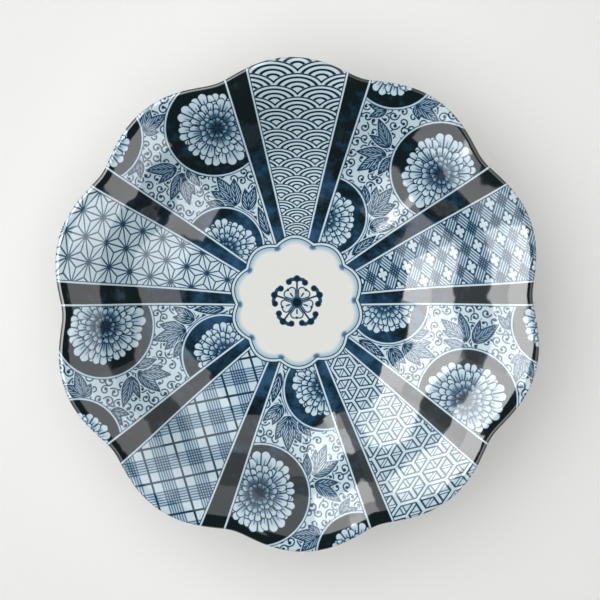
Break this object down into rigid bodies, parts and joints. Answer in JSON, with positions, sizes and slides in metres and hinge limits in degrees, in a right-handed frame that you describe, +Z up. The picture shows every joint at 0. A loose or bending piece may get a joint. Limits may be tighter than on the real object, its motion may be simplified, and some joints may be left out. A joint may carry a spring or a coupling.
{
  "type": "porcelain serving bowl",
  "caption": "Round lobed porcelain serving bowl with an everted lip, a flat floor and a low foot ring, painted inside in underglaze blue panels.",
  "frame": {"origin": "centre of the foot ring's resting edge, on the surface that the bowl stands on", "axes": "+Z up along the bowl's axis, +Y through a crest of the rim, +X through a notch of the rim"},
  "size_m": [0.2328, 0.24, 0.0509],
  "materials": {
    "porcelain": "white porcelain under glaze",
    "bare_porcelain": "matt unglazed porcelain, smoothed by hand",
    "painted_glaze": "glossy clear glaze over cobalt blue painting",
    "clear_glaze": "glossy clear glaze, faintly blue"
  },
  "bodies": {
    "root": {"bowl_body": "porcelain", "foot_ring": "bare_porcelain", "inner_glaze": "painted_glaze", "outer_glaze": "clear_glaze", "foot_well_glaze": "clear_glaze"}
  },
  "joints": []
}
